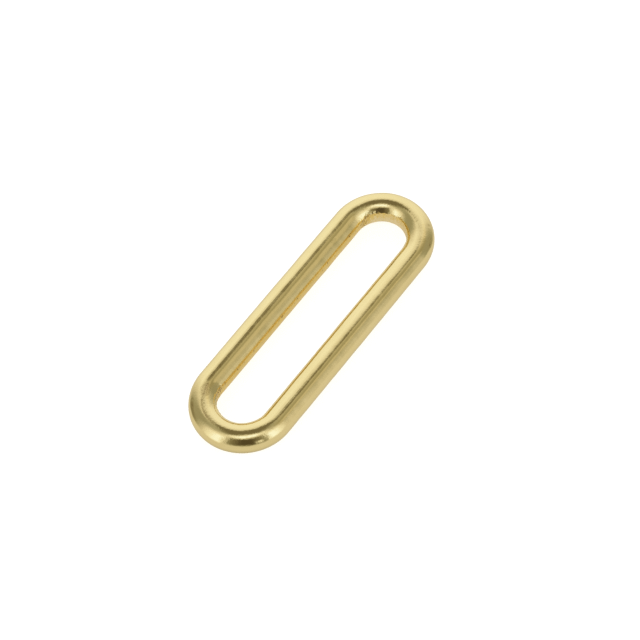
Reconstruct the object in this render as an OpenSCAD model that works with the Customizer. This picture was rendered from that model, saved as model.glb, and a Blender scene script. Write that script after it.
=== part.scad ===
// Oval strap loop in solid brass: one closed casting with two straight
// parallel bars joined by a round bow at each end. A strap runs through the
// slot between the bars. The bar is round all the way along. The slot is
// trimmed upright by one straight-through cut with round ends, which leaves
// a narrow flat land along the inner wall: shallow on the bars, deeper
// round the bows.
//
// Frame: the origin is the middle of the slot, half way up the bar.
// +X runs along the straight bars, +Y across the slot, +Z through it.

/* [Slot] */
// Clear length of the slot from end to end, which is the strap width it takes
slot_length = 40.0; // [25:0.5:60]
// Clear width of the slot between the lands of the two bars
slot_width = 7.0; // [4.5:0.1:12]

/* [Bar] */
// Diameter of the round bar
bar_d = 4.0; // [3:0.1:6]

/* [End bows] */
// How much further each bow reaches than a plain half circle would
bow_stretch = 0.27; // [0.04:0.01:0.5]

/* [Inner land] */
// How deep the trim cut bites into the round inner wall of each bar
bar_land = 0.07; // [0.04:0.01:0.3]
// How deep it bites at the tip of each bow
bow_land = 0.22; // [0.1:0.01:0.4]

/* [Display] */
// Facets drawn round the bar and round each full circle of a bow
facets = 96; // [32:8:160]

/* [Hidden] */
$fn = facets;

bar_r = bar_d / 2;
// the centre line of each straight bar, from the middle of the slot
half_w = slot_width / 2 + bar_r - bar_land;
// half the length of each straight bar
half_straight = slot_length / 2 + bar_r - bow_land - half_w - bow_stretch;
// Each bow is a three-centred arch: a tighter arc round the tip between two
// easier shoulder arcs, all tangent where they meet. The centres of a
// shoulder and of the tip lie on a line that climbs 3 in every 4, so a
// stretch of 2 sets them 5 apart, 4 along and 3 across.
spread = 2.5 * bow_stretch;
tip_r = half_w - bow_stretch;
shoulder_r = tip_r + spread;
// longer than any bow, for the wedges that end the arcs
reach = 20;
// the round ends of the trim cut
trim_r = slot_width / 2;
trim_x = slot_length / 2 - trim_r;

// One straight bar, on the +Y side of the slot.
module straight_bar() {
  translate([-half_straight, half_w, 0])
    rotate([90, 0, 90])
      linear_extrude(height = 2 * half_straight)
        circle(r = bar_r);
}

// A ring of centre-line radius r, kept only inside a wedge of the plane.
module arc(r, wedge) {
  intersection() {
    rotate_extrude()
      translate([r, 0])
        circle(r = bar_r);
    translate([0, 0, -bar_d])
      linear_extrude(height = 2 * bar_d)
        polygon(reach * wedge);
  }
}

// The bow at the +X end, from one straight bar round to the other.
module end_bow() {
  translate([half_straight + 0.8 * spread, 0, 0])
    arc(tip_r, [[0, 0], [0.8, -0.6], [2, -0.6], [2, 0.6], [0.8, 0.6]]);
  for (side = [0, 1])
    mirror([0, side, 0])
      translate([half_straight, -0.6 * spread, 0])
        arc(shoulder_r, [[0, 0], [0.8, 0.6], [0.8, 1.2], [0, 1.2]]);
}

// The upright cut that trims the slot, straight-sided with round ends.
module trim_cut() {
  translate([0, 0, -bar_d])
    linear_extrude(height = 2 * bar_d)
      union() {
        square([2 * trim_x, slot_width], center = true);
        for (side = [-1, 1])
          translate([side * trim_x, 0])
            circle(r = trim_r);
      }
}

// The whole loop, cast in one piece.
module loop_casting() {
  color([0.82, 0.68, 0.36])
    difference() {
      union() {
        for (side = [0, 1])
          mirror([0, side, 0])
            straight_bar();
        for (side = [0, 1])
          mirror([side, 0, 0])
            end_bow();
      }
      trim_cut();
    }
}

loop_casting();
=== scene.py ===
import math
import bpy
import bmesh
import numpy as np
from mathutils import Matrix, Vector


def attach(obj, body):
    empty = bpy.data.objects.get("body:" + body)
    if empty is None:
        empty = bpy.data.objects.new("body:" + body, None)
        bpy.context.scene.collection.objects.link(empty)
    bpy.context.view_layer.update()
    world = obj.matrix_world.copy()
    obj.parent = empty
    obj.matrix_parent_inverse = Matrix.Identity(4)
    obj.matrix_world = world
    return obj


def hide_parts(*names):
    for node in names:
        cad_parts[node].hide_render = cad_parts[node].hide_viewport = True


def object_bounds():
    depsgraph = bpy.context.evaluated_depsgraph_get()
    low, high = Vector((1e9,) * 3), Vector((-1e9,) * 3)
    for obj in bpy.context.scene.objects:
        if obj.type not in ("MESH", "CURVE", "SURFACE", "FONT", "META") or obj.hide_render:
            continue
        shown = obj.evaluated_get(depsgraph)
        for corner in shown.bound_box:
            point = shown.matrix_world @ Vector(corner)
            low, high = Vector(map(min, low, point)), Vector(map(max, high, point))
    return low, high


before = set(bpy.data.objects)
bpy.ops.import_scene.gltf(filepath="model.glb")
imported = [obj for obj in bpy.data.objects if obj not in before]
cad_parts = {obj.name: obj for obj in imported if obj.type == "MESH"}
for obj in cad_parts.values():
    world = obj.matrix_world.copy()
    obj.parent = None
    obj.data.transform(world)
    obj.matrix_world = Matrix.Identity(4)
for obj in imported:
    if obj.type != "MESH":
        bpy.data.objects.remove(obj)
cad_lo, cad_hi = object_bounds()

MM = 0.001
scene = bpy.context.scene

# ---------------------------------------------------------------- view
# Plain display transform, so the brass keeps its own contrast.
scene.view_settings.view_transform = "Standard"
scene.view_settings.look = "None"
scene.view_settings.exposure = 0.0
scene.view_settings.gamma = 1.0
scene.cycles.use_denoising = False    # keep the fine grain of the metal

cam_data = bpy.data.cameras.new("camera")
cam_data.sensor_width = 36.0
cam_data.lens = 179.886
cam_data.clip_start = 0.01
cam_data.clip_end = 10.0
camera = bpy.data.objects.new("camera", cam_data)
scene.collection.objects.link(camera)
cam_right = Vector((0.57467508, -0.81836998, -0.00437412))
cam_up = Vector((0.68762432, 0.47995100, 0.54481175))
cam_fwd = Vector((0.44375821, 0.31609749, -0.83854697))
rot = Matrix((cam_right, cam_up, -cam_fwd)).transposed().to_4x4()
camera.matrix_world = Matrix.Translation((-0.1929641, -0.13855456, 0.36560648)) @ rot
scene.camera = camera


# ---------------------------------------------------------------- node formulas
class Num:
    """A number inside a node tree, so that light and finish read as formulas."""

    def __init__(self, tree, socket):
        self.tree, self.socket = tree, socket

    def _math(self, kind, *args):
        node = self.tree.nodes.new("ShaderNodeMath")
        node.operation = kind
        for i, a in enumerate(args):
            if isinstance(a, Num):
                self.tree.links.new(a.socket, node.inputs[i])
            else:
                node.inputs[i].default_value = float(a)
        return Num(self.tree, node.outputs[0])

    def __add__(self, o): return self._math("ADD", self, o)
    def __radd__(self, o): return self._math("ADD", o, self)
    def __sub__(self, o): return self._math("SUBTRACT", self, o)
    def __rsub__(self, o): return self._math("SUBTRACT", o, self)
    def __mul__(self, o): return self._math("MULTIPLY", self, o)
    def __rmul__(self, o): return self._math("MULTIPLY", o, self)
    def __truediv__(self, o): return self._math("DIVIDE", self, o)
    def __pow__(self, o): return self._math("POWER", self, o)
    def abs(self): return self._math("ABSOLUTE", self)
    def max(self, o): return self._math("MAXIMUM", self, o)
    def min(self, o): return self._math("MINIMUM", self, o)

    def step(self, a, b, soft=True):
        """0 at a, 1 at b, smooth between; a may be the larger."""
        node = self.tree.nodes.new("ShaderNodeMapRange")
        node.interpolation_type = "SMOOTHSTEP" if soft else "LINEAR"
        node.clamp = True
        if a > b:  # the soft kinds want rising ends
            return 1.0 - self.step(b, a, soft)
        self.tree.links.new(self.socket, node.inputs[0])
        node.inputs[1].default_value = a
        node.inputs[2].default_value = b
        node.inputs[3].default_value = 0.0
        node.inputs[4].default_value = 1.0
        return Num(self.tree, node.outputs[0])

    def span(self, a, b, c, d):
        """0 outside a..d, 1 inside b..c, smooth at both ends."""
        return self.step(a, b) * self.step(d, c)


def mix(t, a, b):
    return a + (b - a) * t if isinstance(b, Num) or isinstance(a, Num) else a + t * (b - a)


def colour_ramp(tree, num, stops, top=1.0, dim=1.0):
    node = tree.nodes.new("ShaderNodeValToRGB")
    scaled = num * (1.0 / top) if top != 1.0 else num
    tree.links.new(scaled.socket, node.inputs[0])
    ramp = node.color_ramp
    while len(ramp.elements) < len(stops):
        ramp.elements.new(0.5)
    for e, (at, rgb) in zip(ramp.elements, stops):
        e.position = at / top
        e.color = (*[c / dim for c in rgb], 1.0)
    return node.outputs[0]


# ---------------------------------------------------------------- studio
# A light tent given by direction. az is the bearing seen from the camera's
# side: 0 is straight behind the object, +90 to its right, 180 back at the
# camera. el is the height above the horizon. Both in degrees.
world = bpy.data.worlds.new("studio")
scene.world = world
world.use_nodes = True
wt = world.node_tree
wt.nodes.clear()
coord = wt.nodes.new("ShaderNodeTexCoord")


def along(vec):
    node = wt.nodes.new("ShaderNodeVectorMath")
    node.operation = "DOT_PRODUCT"
    wt.links.new(coord.outputs["Generated"], node.inputs[0])
    node.inputs[1].default_value = vec
    return Num(wt, node.outputs["Value"])


flat = Vector((cam_fwd.x, cam_fwd.y, 0.0)).normalized()
side = Vector((flat.y, -flat.x, 0.0))
d_side, d_flat, d_up = along(side), along(flat), along((0, 0, 1))
DEG = 180.0 / math.pi
az = d_side._math("ARCTAN2", d_side, d_flat) * DEG
el = d_up._math("ARCSINE", d_up.max(-1.0).min(1.0)) * DEG
cos_az = (az * (1 / DEG))._math("COSINE", az * (1 / DEG))
behind = (cos_az + 1.0) * 0.5          # 1 behind the object, 0 at the camera
sides = az.abs()

# ceiling and grey side walls
ceiling = 0.17 + el.step(84, 90) * 0.06
side_share = az.step(-22, -64).max(az.step(30, 62))
top_at = 60.0 + side_share * 14.0 - az.span(8, 18, 28, 36) * 0.9 + az.span(-34, -20, -14, 2) * 0.8
top_half = 6.2 + side_share * 1.0
wall_on = ((top_at + top_half - el) / (top_half * 2.0)).step(0, 1)
wall = 0.35 + el.span(50, 66, 68, 80) * 0.07
wall = wall - az.span(-100, -72, -62, -45) * el.span(-26, -12, 0, 12) * 0.10
wall = wall + az.span(77, 83, 88, 99) * el.span(34, 41, 48, 56) * 0.22
light = mix(wall_on, ceiling, wall)
# lit back sweep
sweep = az.step(-66, -24) * az.step(63, 31)
sweep_level = 0.68 - az.step(-10, 60, False) * 0.15
sweep_shade = (1.0 - el.step(38, 56) * (0.31 + az.step(26, 46) * 0.22)) * mix(el.step(-30, 0), 0.70, 1.0)
light = light + sweep * wall_on * sweep_level * sweep_shade
# two tall soft panels either side of the camera
left = az.step(-83, -134) * az.step(-157, -135) * el.step(76, 36)
light = mix(left, light, 1.23)
slant_az = az - (el - 34.0).max(0.0) * 0.20
right = slant_az.step(82, 129) * az.step(142, 130) * el.step(74, 36) * mix(el.step(-16, 6), 0.62, 1.0)
light = mix(right, light, 1.24)
# dark opening for the camera, with a small window beside the lens
gate = (az.step(134, 144) + az.step(-151, -159)).min(1.0)
gate_level = 0.07 + az.span(120, 132, 140, 166) * 0.22 + az.span(-178, -156, -150, -140) * 0.15
spot = az.span(142, 149, 154, 160) * el.span(0, 10, 19, 27)
gate_level = gate_level + spot * 0.60
light = mix(gate * el.step(66, 42), light, gate_level)
# long strip over the camera
strip = (az.step(98, 156) + az.step(-118, -172)).min(1.0) * el.span(47, 69, 68, 91)
light = mix(strip, light, 1.32)
# table
edge = -3.0 - (behind ** 1.7) * 32.0 - az.span(-152, -140, -126, -104) * 7.0 + az.span(64, 78, 98, 120) * 7.5
edge_half = 5.0 + ((1.0 - behind) ** 4.0) * 7.0
table_on = ((edge + edge_half - el) / (edge_half * 2.0)).step(0, 1)
light = mix(table_on, light, 0.715 - el.step(-40, -62) * 0.04 - el.step(-58, -80) * 0.09)
tint = colour_ramp(wt, light, [
    (0.06, (0.080, 0.062, 0.036)),
    (0.10, (0.135, 0.112, 0.070)),
    (0.17, (0.190, 0.166, 0.108)),
    (0.27, (0.280, 0.255, 0.175)),
    (0.39, (0.400, 0.390, 0.310)),
    (0.70, (0.740, 0.705, 0.640)),
    (0.96, (0.955, 0.955, 0.945)),
    (1.07, (1.010, 1.030, 1.040)),
    (1.18, (1.080, 1.180, 1.420)),
    (1.30, (1.140, 1.280, 1.600)),
], top=1.40, dim=1.6)
warm = az.span(20, 46, 92, 110) * el.span(30, 42, 62, 70)     # a warmer corner of the wall
warmed = wt.nodes.new("ShaderNodeMix")
warmed.data_type = "RGBA"
warmed.blend_type = "MULTIPLY"
wt.links.new(warm.socket, warmed.inputs["Factor"])
wt.links.new(tint, warmed.inputs["A"])
warmed.inputs["B"].default_value = (1.03, 0.985, 0.87, 1.0)
back = wt.nodes.new("ShaderNodeBackground")
wt.links.new(warmed.outputs["Result"], back.inputs["Color"])
back.inputs["Strength"].default_value = 1.6
w_out = wt.nodes.new("ShaderNodeOutputWorld")
wt.links.new(back.outputs[0], w_out.inputs["Surface"])


# Pale floor, and a plain backdrop beyond it that only the camera sees.
def stage_material(name, level, glow):
    mat = bpy.data.materials.new(name)
    mat.use_nodes = True
    bsdf = mat.node_tree.nodes["Principled BSDF"]
    bsdf.inputs["Base Color"].default_value = (level, level, level, 1)
    bsdf.inputs["Roughness"].default_value = 0.9
    bsdf.inputs["Specular IOR Level"].default_value = 0.0
    bsdf.inputs["Emission Color"].default_value = (1, 1, 1, 1)
    bsdf.inputs["Emission Strength"].default_value = glow
    return mat


bm = bmesh.new()
bmesh.ops.create_circle(bm, cap_ends=True, segments=96, radius=1.3)
bmesh.ops.translate(bm, vec=(0, 0, cad_lo[2] - 0.00001), verts=bm.verts)
floor_mesh = bpy.data.meshes.new("floor")
bm.to_mesh(floor_mesh)
bm.free()
floor = bpy.data.objects.new("floor", floor_mesh)
scene.collection.objects.link(floor)
floor_mesh.materials.append(stage_material("floor_pale", 0.8, 0.72))
floor.visible_glossy = False

bm = bmesh.new()
bmesh.ops.create_uvsphere(bm, u_segments=64, v_segments=32, radius=1.25)
dome_mesh = bpy.data.meshes.new("backdrop")
bm.to_mesh(dome_mesh)
bm.free()
dome = bpy.data.objects.new("backdrop", dome_mesh)
scene.collection.objects.link(dome)
dome_mesh.materials.append(stage_material("backdrop_pale", 0.0, 0.95))
dome.visible_glossy = dome.visible_diffuse = dome.visible_shadow = False
dome.visible_transmission = dome.visible_volume_scatter = False


# ---------------------------------------------------------------- the loop
HALF_W, HALF_STRAIGHT, STRETCH, R = 5.43, 16.08, 0.27, 2.0
TRIM_X, TRIM_R = 16.5, 3.5
RINGS = 994
rng = np.random.default_rng(4021)


def centre_line(n):
    """Points and unit tangents along the middle of the bar, anticlockwise from the +X tip."""
    spread = 2.5 * STRETCH
    tip_r = HALF_W - STRETCH
    shoulder_r = tip_r + spread
    t = math.atan2(0.6, 0.8)
    # quarter by quarter: half the tip, a shoulder, half a straight bar
    pieces = [tip_r * t, shoulder_r * (math.pi / 2 - t), HALF_STRAIGHT]
    quarter = sum(pieces)
    s = np.arange(n) * (4 * quarter / n)
    q = np.floor(s / quarter).astype(int)
    w = s - q * quarter
    w = np.where(q % 2 == 1, quarter - w, w)
    x, y, tx, ty = (np.zeros(n) for _ in range(4))
    a = w / tip_r
    m = w <= pieces[0]
    x[m], y[m] = HALF_STRAIGHT + 0.8 * spread + tip_r * np.cos(a[m]), tip_r * np.sin(a[m])
    tx[m], ty[m] = -np.sin(a[m]), np.cos(a[m])
    m = (w > pieces[0]) & (w <= pieces[0] + pieces[1])
    a = t + (w - pieces[0]) / shoulder_r
    x[m], y[m] = HALF_STRAIGHT + shoulder_r * np.cos(a[m]), -0.6 * spread + shoulder_r * np.sin(a[m])
    tx[m], ty[m] = -np.sin(a[m]), np.cos(a[m])
    m = w > pieces[0] + pieces[1]
    x[m], y[m] = HALF_STRAIGHT - (w[m] - pieces[0] - pieces[1]), HALF_W
    tx[m], ty[m] = -1.0, 0.0
    # unfold into the other quarters
    sx = np.where((q == 1) | (q == 2), -1.0, 1.0)
    sy = np.where(q >= 2, -1.0, 1.0)
    flip = np.where(q % 2 == 1, -1.0, 1.0)
    return (np.stack([x * sx, y * sy], 1), np.stack([tx * sx * flip, ty * sy * flip], 1), s, 4 * quarter)


P, T, S, LENGTH = centre_line(RINGS)
N = np.stack([T[:, 1], -T[:, 0]], 1)          # outward, in the plane
PHI = 2 * math.pi * S / LENGTH


def waves(count, m_max, n_max, falloff, seed):
    """Smooth seamless unevenness over the loop: modes along it and round the bar."""
    g = np.random.default_rng(seed)
    ms = g.integers(1, m_max + 1, count)
    ns = g.integers(-n_max, n_max + 1, count)
    ph = g.uniform(0, 2 * math.pi, count)
    amp = 1.0 / (1.0 + ms / falloff)
    amp /= math.sqrt((amp ** 2).sum() / 2)
    return lambda phi, th: sum(a * np.cos(m * phi + k * th + p) for a, m, k, p in zip(amp, ms, ns, ph))


def trim_depth(points, normals):
    """How far in from the centre line the trim cut's wall lies, at each ring."""
    t = np.linspace(1.2, 2.2, 501)
    q = points[:, None, :] - t[None, :, None] * normals[:, None, :]
    over = np.maximum(np.abs(q[..., 0]) - TRIM_X, 0.0)
    sd = np.hypot(over, q[..., 1]) - TRIM_R
    i = np.clip(np.argmax(sd < 0, axis=1), 1, 500)
    row = np.arange(len(points))
    s0, s1 = sd[row, i - 1], sd[row, i]
    return t[i - 1] + (t[i] - t[i - 1]) * s0 / (s0 - s1)


land_at = trim_depth(P, N)


def curve(x, points, soften):
    """A smooth curve through rough (degrees, value) points round the section."""
    grid = np.arange(-180.0, 540.0, 0.5)
    v = np.interp(grid, *zip(*points))
    kernel = np.exp(-0.5 * (np.arange(-60, 61) * 0.5 / soften) ** 2)
    v = np.convolve(np.pad(v, 60, mode="edge"), kernel / kernel.sum(), mode="valid")
    return np.interp(x, grid, v)


def smooth(x, a, b):
    t = np.clip((x - a) / (b - a), 0, 1)
    return t * t * (3 - 2 * t)


# The straight bars are belt-finished: each is worn a little flatter than round
# on top, towards the slot, which the bows are not.
FAR_WEAR = [(0, 0.0), (30, 0.008), (58, 0.005), (76, -0.014), (96, -0.096), (108, -0.122), (120, -0.162), (127, -0.168),
            (142, -0.115), (166, 0.003), (174, 0.0), (360, 0.0)]
NEAR_WEAR = [(0, 0.0), (30, 0.006), (64, 0.010), (92, -0.070), (123, -0.110), (147, -0.016), (168, 0.0), (360, 0.0)]
on_bar = smooth(np.abs(P[:, 0]), 18.8, 14.8)
on_bar = np.where((P[:, 0] < 0) & (P[:, 1] > 0), smooth(-P[:, 0], 20.3, 16.9), on_bar)
# The trim bites deeper and rougher in the two bow shoulders on the +Y side.
rough_side = smooth(P[:, 1], 1.8, 4.2) * np.exp(-((np.abs(P[:, 0]) - 17.7) / 1.5) ** 2)
in_bow = smooth(np.abs(P[:, 0]), 15.5, 18.0)
land_at = land_at - np.where(P[:, 0] < 0, 0.150, 0.085) * rough_side
land_at = land_at + 0.068 * np.exp(-((P[:, 0] - 18.9) / 2.6) ** 4) * smooth(-P[:, 1], 0.5, 3.0)
land_at = land_at + 0.010 * waves(14, 40, 0, 20.0, 21)(PHI, 0.0)
land_at = land_at + (0.004 + 0.014 * in_bow + 0.024 * rough_side) * waves(60, 320, 0, 200.0, 22)(PHI, 0.0)

# Spacing round the section: coarse on the round, fine over the edges of the land.
half_round, half_edge, half_land = 38, 5, 7    # columns on each side of the section
edge_w = 0.07                                   # half the width of the edge's small round, mm
cos_edge = np.clip(land_at / R, 0, 0.9995)
edge_ang = math.pi - np.arccos(cos_edge)        # angle from outward where the land starts
d_ang = edge_w / R
a0 = edge_ang - d_ang
f1 = np.linspace(0, 1, half_round + 1)[None, :-1] * a0[:, None]
f2 = a0[:, None] + np.linspace(0, 1, half_edge + 1)[None, :-1] * (2 * d_ang)
a1 = edge_ang + d_ang
f3 = a1[:, None] + np.linspace(0, 1, half_land + 1)[None, :] * (math.pi - a1)[:, None]
upper = np.concatenate([f1, f2, f3], axis=1)    # from outward over the top to inward
TH = np.concatenate([upper, 2 * math.pi - upper[:, -2:0:-1]], axis=1)
COLS = TH.shape[1]
PH = np.repeat(PHI[:, None], COLS, 1)

round_r = R + 0.013 - 0.009 * np.cos(TH) + 0.006 * waves(26, 30, 2, 9.0, 11)(PH, TH) + 0.0025 * waves(30, 90, 4, 30.0, 12)(PH, TH)
# the crest of the +Y bar is worn a degree or two further over at one end, and
# the -Y bar is worn a little less at its -X end
crest_on = (smooth(np.degrees(TH), 62, 78) * smooth(np.degrees(TH), 112, 98))
over = np.where(P[:, 1] > 0, 2.5 * smooth(P[:, 0], -2.0, 9.0) - 0.6 * smooth(-P[:, 0], 2.0, 8.0), 0.0)[:, None] * crest_on
worn_at = np.degrees(TH) - over
wear = np.where(P[:, None, 1] > 0, curve(worn_at, FAR_WEAR, 3.5), curve(worn_at, NEAR_WEAR, 4.5) * (0.90 + 0.13 * np.clip(P[:, None, 0] / 11.0, -1, 1)))
round_r = round_r + wear * on_bar[:, None]
# The outline as cast is not quite true: (mm along the loop, mm added outside).
OUTSIDE = [(0, 0.0), (2.5, 0.0), (4.6, 0.034), (6.8, 0.018), (8.2, -0.040), (10, -0.014), (12, 0.0), (18, -0.012), (25, 0.020), (29, 0.0),
           (33, -0.036), (37, -0.032), (39.8, -0.048), (41.2, -0.080), (42.8, -0.010), (44.2, 0.080), (45.8, 0.090), (47.2, 0.060),
           (48.8, 0.025), (50.5, 0.0), (52, -0.005), (53.2, 0.020), (54.8, 0.048), (56.2, 0.0), (57.8, -0.050), (59.2, 0.005),
           (61, 0.050), (70, 0.052), (74, 0.025), (80, 0.013), (86, 0.028), (89.2, 0.0), (90.8, -0.036), (92.2, 0.0), (93.8, 0.052),
           (95.2, 0.048), (97, 0.032), (98.4, 0.014)]
grid = np.arange(-20, LENGTH + 20, 0.05)
out_by = np.interp(grid % LENGTH, *zip(*(OUTSIDE + [(LENGTH, 0.0)])))
kernel = np.exp(-0.5 * (np.arange(-80, 81) * 0.05 / 1.2) ** 2)
out_by = np.interp(S, grid, np.convolve(out_by, kernel / kernel.sum(), mode="same"))
round_r = round_r + 0.45 * out_by[:, None] * np.maximum(np.cos(TH), 0.0)
inward = np.maximum(-np.cos(TH), 1e-3)
marks = waves(26, 330, 9, 400.0, 14)(PH, TH)
flat_r = (land_at[:, None] + 0.004 * waves(40, 160, 3, 60.0, 13)(PH, TH)
          + (0.0015 + 0.0040 * in_bow + 0.008 * rough_side)[:, None] * marks) / inward
# file strokes left across the land of those shoulders, slanting down the wall
slant = np.cos(2 * math.pi * (S[:, None] / 0.45 + np.degrees(TH) / 40.0) + 1.7 * waves(12, 60, 1, 40.0, 15)(PH, TH))
strokes = np.clip(slant, 0, 1) ** 2 * np.clip(rough_side * 1.3, 0, 1)[:, None] * np.where(P[:, 0] < 0, 1.0, 0.6)[:, None]
flat_r = flat_r - 0.026 * strokes
soft = (0.012 + 0.014 * on_bar)[:, None]
h = np.clip(0.5 + 0.5 * (flat_r - round_r) / soft, 0, 1)
rad = flat_r * (1 - h) + round_r * h - soft * h * (1 - h)
rad = np.where(-np.cos(TH) > 0.5, rad, round_r)
land_and_painted_reflection = np.where(-np.cos(TH) > 0.5, np.clip(0.5 + 0.5 * (round_r - flat_r) / 0.02, 0, 1), 0.0)
# on the bars the land's orange colour and rougher finish are carried onto the polished metal just above the land: the
# colour there is a painted reflection of the opposite bar
painted_bar_reflection = smooth(np.degrees(TH), 145.0, 156.0) * (TH < math.pi) * on_bar[:, None]
land_and_painted_reflection = np.maximum(land_and_painted_reflection, 0.85 * painted_bar_reflection)


# Pits and dents: where along the loop (mm), how far round from outward
# (degrees), half length along, half width across and depth (mm).
PITS = [
    (95.0, 48.2, 0.15, 0.15, 0.030), (92.6, 39.6, 0.50, 0.21, 0.032), (93.3, 42.0, 0.24, 0.16, 0.030),
    (45.2, 40.8, 0.32, 0.20, 0.034), (44.6, 46.0, 0.14, 0.14, 0.022),
]
g = np.random.default_rng(77)
for lo_s, hi_s, lo_t, hi_t, count in ((-1.5, 8.2, 142, 156, 30), (-1.5, 8.2, 156, 190, 22), (90.5, 98.0, 146, 160, 10), (39.8, 46.2, 142, 166, 26),
                                      (48.5, 89.0, 150, 166, 14), (9.0, 39.0, 158, 168, 14), (0.0, 99.0, -175, 20, 26), (0.0, 99.0, 20, 130, 12)):
    for _ in range(count):
        size = g.uniform(0.06, 0.13) if lo_t > 100 else g.uniform(0.05, 0.09)
        PITS.append((g.uniform(lo_s, hi_s), g.uniform(lo_t, hi_t), size * g.uniform(1.0, 1.8), size, size * g.uniform(0.15, 0.45 if lo_t > 100 else 0.25)))
for k in range(11):   # small nicks over the crest of one bow
    at = g.uniform(42.0, 46.8)
    PITS.append((at, min(78.0 + (at - 42.76) * 15.0, 118.0) + g.uniform(-8, 8), g.uniform(0.06, 0.10), g.uniform(0.07, 0.12), g.uniform(0.004, 0.008)))
dark_marks_and_painted_line = np.zeros_like(rad)
for at, turn, half_l, half_w_, depth in PITS:
    ds = (S - at + LENGTH / 2) % LENGTH - LENGTH / 2
    near = np.nonzero(np.abs(ds) < 3.2 * half_l + 0.2)[0]
    dt = (TH[near] - math.radians(turn) + math.pi) % (2 * math.pi) - math.pi
    bump_ = np.exp(-(ds[near][:, None] / half_l) ** 2 - (R * dt / half_w_) ** 2)
    rad[near] -= depth * bump_
    dark_marks_and_painted_line[near] = np.maximum(dark_marks_and_painted_line[near], bump_ * min(1.0, depth / 0.03))

dark_marks_and_painted_line = np.maximum(dark_marks_and_painted_line, strokes * land_and_painted_reflection)
# a shallow groove over the crest of the -X bow, where the bar's worn edge runs on into it, with a dark, rougher line
# painted into the colour along it: painted reflection of the dark band the worn crest shows
line_at = np.interp(S, [41.5, 42.3, 42.9, 43.5, 44.1, 44.7, 45.3, 46.0, 47.6], [97.0, 98.0, 97.0, 95.5, 92.0, 87.0, 83.8, 82.5, 82.0])[:, None]
line = np.exp(-((np.degrees(TH) - line_at) / np.interp(S, [44.6, 46.0], [4.2, 5.2])[:, None]) ** 2) * (smooth(S, 41.0, 42.6) * smooth(S, 49.2, 47.6))[:, None]
rad = rad - 0.014 * line * (smooth(S, 44.6, 45.8) * smooth(S, 49.2, 47.6))[:, None]
line = np.exp(-((np.degrees(TH) - line_at) / 4.2) ** 2)
painted_line_strength = np.interp(S, [41.6, 42.2, 43.2, 44.1, 44.8, 45.3, 45.9, 46.8, 47.6, 48.5, 49.0, 49.5], [0, 0.72, 0.88, 0.80, 0.76, 0.66, 0.82, 0.86, 0.90, 0.90, 0.74, 0])[:, None]
dark_marks_and_painted_line = np.maximum(dark_marks_and_painted_line, np.clip(1.6 * line, 0, 1) * painted_line_strength * (1.0 + 0.10 * waves(40, 330, 14, 500.0, 31)(PH, TH)))
# painted reflection: a darker, rougher spot painted where the dark line starts
painted_dark_spot = np.exp(-((np.degrees(TH) - 96.0) / 16.0) ** 2 - ((S[:, None] - 43.35) / 0.8) ** 2)      # and the duller spot it starts from
dark_marks_and_painted_line = np.maximum(dark_marks_and_painted_line, 0.54 * np.clip(6.0 * painted_dark_spot, 0, 1) + 0.26 * painted_dark_spot)
# Where the finish is coarser: the trimmed shoulders, the crest of the -X bow
# next to them, and a little over the top of both bows.
s_mid = (S[:, None] - 44.0) / 2.6
crest = np.exp(-s_mid ** 2 - ((np.degrees(TH) - 78.0 - np.clip(S[:, None] - 42.76, -2, 3) * 15.0) / 16.0) ** 2)
coarse = np.maximum(0.22 * crest, rough_side[:, None] * np.clip((np.degrees(TH) - 128.0) / 16.0, 0, 1) * (TH < math.pi * 1.2))
coarse = np.maximum(coarse, 0.08 * in_bow[:, None] * np.exp(-((np.degrees(TH) - 90.0) / 34.0) ** 2))

radial = rad * np.cos(TH)
X = P[:, None, 0] + radial * N[:, None, 0]
Y = P[:, None, 1] + radial * N[:, None, 1]
Z = np.maximum(rad * np.sin(TH), -R)
co = np.stack([X, Y, Z], -1).reshape(-1, 3) * MM

i = np.arange(RINGS)[:, None]
j = np.arange(COLS)[None, :]
i2, j2 = (i + 1) % RINGS, (j + 1) % COLS
quads = np.stack([i * COLS + j, i2 * COLS + j, i2 * COLS + j2, i * COLS + j2], -1).reshape(-1, 4)

mesh = bpy.data.meshes.new("strap_loop")
mesh.vertices.add(len(co))
mesh.vertices.foreach_set("co", co.ravel())
mesh.loops.add(quads.size)
mesh.loops.foreach_set("vertex_index", quads.ravel())
mesh.polygons.add(len(quads))
mesh.polygons.foreach_set("loop_start", np.arange(0, quads.size, 4))
mesh.polygons.foreach_set("loop_total", np.full(len(quads), 4))
mesh.update(calc_edges=True)
mesh.validate()
mesh.shade_smooth()
lay = mesh.attributes.new("lay", "FLOAT_VECTOR", "POINT")
ring = LENGTH / (2 * math.pi)
vec = np.stack([ring * np.cos(PH), ring * np.sin(PH), R * np.cos(TH)], -1)
lay.data.foreach_set("vector", vec.reshape(-1).astype(np.float32))
lay_w = mesh.attributes.new("lay_w", "FLOAT", "POINT")
lay_w.data.foreach_set("value", (R * np.sin(TH)).reshape(-1).astype(np.float32))
land = mesh.attributes.new("land", "FLOAT", "POINT")
land.data.foreach_set("value", land_and_painted_reflection.reshape(-1).astype(np.float32))
marks_and_painted_line = mesh.attributes.new("marks_and_painted_line", "FLOAT", "POINT")
marks_and_painted_line.data.foreach_set("value", dark_marks_and_painted_line.reshape(-1).astype(np.float32))
rough = mesh.attributes.new("coarse", "FLOAT", "POINT")
rough.data.foreach_set("value", coarse.reshape(-1).astype(np.float32))
bar = mesh.attributes.new("bar", "FLOAT", "POINT")
bar.data.foreach_set("value", np.repeat(on_bar[:, None], COLS, 1).reshape(-1).astype(np.float32))
loop = bpy.data.objects.new("strap_loop", mesh)
scene.collection.objects.link(loop)

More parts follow.
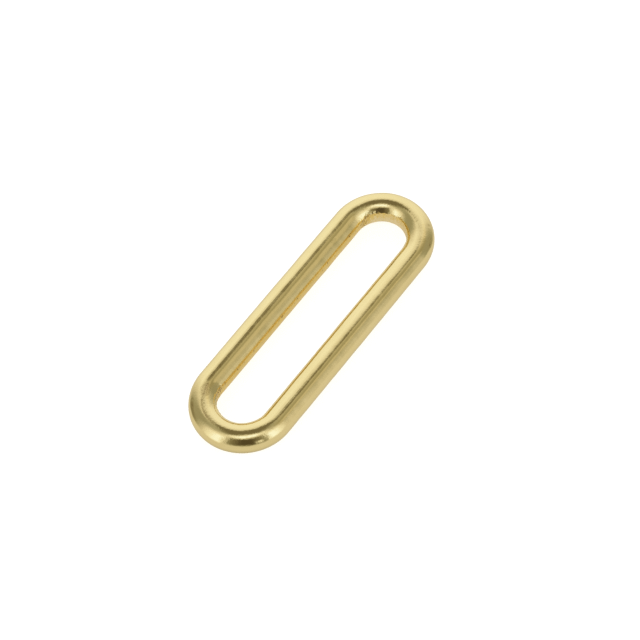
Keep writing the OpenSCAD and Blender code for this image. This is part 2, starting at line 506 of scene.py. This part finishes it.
# ---------------------------------------------------------------- brass
brass = bpy.data.materials.new("brass_polished")
brass.use_nodes = True
bt = brass.node_tree
bsdf = bt.nodes["Principled BSDF"]
bsdf.inputs["Metallic"].default_value = 1.0
bsdf.inputs["Specular Tint"].default_value = (0.91, 0.88, 0.81, 1.0)   # brass stays yellow towards grazing


def attribute(name, vector=False):
    node = bt.nodes.new("ShaderNodeAttribute")
    node.attribute_name = name
    return node.outputs["Vector"] if vector else Num(bt, node.outputs["Fac"])


obj_coord = bt.nodes.new("ShaderNodeTexCoord").outputs["Object"]
lay_vec, lay_4 = attribute("lay", True), attribute("lay_w")
on_land_and_painted_reflection = attribute("land")
in_marks_and_painted_line = attribute("marks_and_painted_line")
on_straight = attribute("bar")
is_coarse = attribute("coarse")


def noise3(scale, detail=2.0, rough=0.5):
    """Noise in the object's own space; scale is features per millimetre."""
    node = bt.nodes.new("ShaderNodeTexNoise")
    bt.links.new(obj_coord, node.inputs["Vector"])
    node.inputs["Scale"].default_value = scale * 1000.0
    node.inputs["Detail"].default_value = detail
    node.inputs["Roughness"].default_value = rough
    return Num(bt, node.outputs["Fac"])


def streaks(along_scale, across_scale, detail=2.0, rough=0.5):
    """Noise drawn out along the bar."""
    m = bt.nodes.new("ShaderNodeVectorMath")
    m.operation = "MULTIPLY"
    bt.links.new(lay_vec, m.inputs[0])
    m.inputs[1].default_value = (along_scale, along_scale, across_scale)
    node = bt.nodes.new("ShaderNodeTexNoise")
    node.noise_dimensions = "4D"
    bt.links.new(m.outputs[0], node.inputs["Vector"])
    bt.links.new((lay_4 * across_scale).socket, node.inputs["W"])
    node.inputs["Scale"].default_value = 1.0
    node.inputs["Detail"].default_value = detail
    node.inputs["Roughness"].default_value = rough
    return Num(bt, node.outputs["Fac"])


grain = noise3(3.6, 1.0, 0.5)
fine = noise3(9.0, 2.0, 0.6)
cloud = noise3(0.35, 2.0, 0.5)
lines = streaks(0.22, 7.0, 2.0, 0.6)
belt = streaks(0.03, 3.8, 1.0, 0.5)
# darker at pits and file strokes, and along the painted dark line and spot over the -X bow crest (painted reflection)
tone = 0.5 + (cloud - 0.5) * 0.4 + (fine - 0.5) * 0.5 + (lines - 0.5) * 0.3 - in_marks_and_painted_line * 0.46
base = colour_ramp(bt, tone, [
    (0.00, (0.380, 0.270, 0.110)),
    (0.25, (0.850, 0.705, 0.335)),
    (0.50, (0.890, 0.750, 0.378)),
    (0.75, (0.915, 0.782, 0.415)),
])
up = bt.nodes.new("ShaderNodeSeparateXYZ")
bt.links.new(obj_coord, up.inputs[0])
# painted reflection: the land's colour is made lighter lower down the trimmed wall, where it faces the pale table
painted_table_reflection = (Num(bt, up.outputs["Z"]) * 1000.0).step(0.7, -0.5)      # down the trimmed wall
land_tone = (0.34 + (grain - 0.5) * (0.7 + is_coarse * 2.0) + (fine - 0.5) * 0.35 + painted_table_reflection * 0.32
             + (1.0 - on_straight) * (1.0 - is_coarse) * 0.30 - is_coarse * 0.06 - in_marks_and_painted_line * 0.55)
land_rgb = colour_ramp(bt, land_tone, [
    (0.00, (0.420, 0.280, 0.110)),
    (0.28, (0.865, 0.655, 0.210)),
    (0.50, (0.955, 0.705, 0.218)),
    (0.75, (0.925, 0.745, 0.360)),
    (0.98, (0.980, 0.820, 0.470)),
])
# land colour on the land itself, and a painted reflection of the opposite bar on the band just above it on the bars
blend = bt.nodes.new("ShaderNodeMix")
blend.data_type = "RGBA"
bt.links.new(on_land_and_painted_reflection.socket, blend.inputs["Factor"])
bt.links.new(base, blend.inputs["A"])
bt.links.new(land_rgb, blend.inputs["B"])
bt.links.new(blend.outputs["Result"], bsdf.inputs["Base Color"])
gloss = 0.10 + (fine - 0.5) * 0.08 + (cloud - 0.5) * 0.05 + on_land_and_painted_reflection * 0.20 + in_marks_and_painted_line * 0.25
bt.links.new(gloss.max(0.04).min(0.6).socket, bsdf.inputs["Roughness"])
height = ((grain - 0.5) * (0.0082 - on_straight * 0.0036 + on_land_and_painted_reflection * 0.005 + is_coarse * 0.020)
          + (fine - 0.5) * (0.0040 - on_straight * 0.0012 + on_land_and_painted_reflection * 0.002)
          + (lines - 0.5) * 0.0044 + (belt - 0.5) * on_straight * 0.0175)
bump = bt.nodes.new("ShaderNodeBump")
bump.inputs["Strength"].default_value = 1.0
bump.inputs["Distance"].default_value = MM
bt.links.new(height.socket, bump.inputs["Height"])
bt.links.new(bump.outputs[0], bsdf.inputs["Normal"])
mesh.materials.append(brass)

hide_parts("loop_casting")
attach(loop, "root")
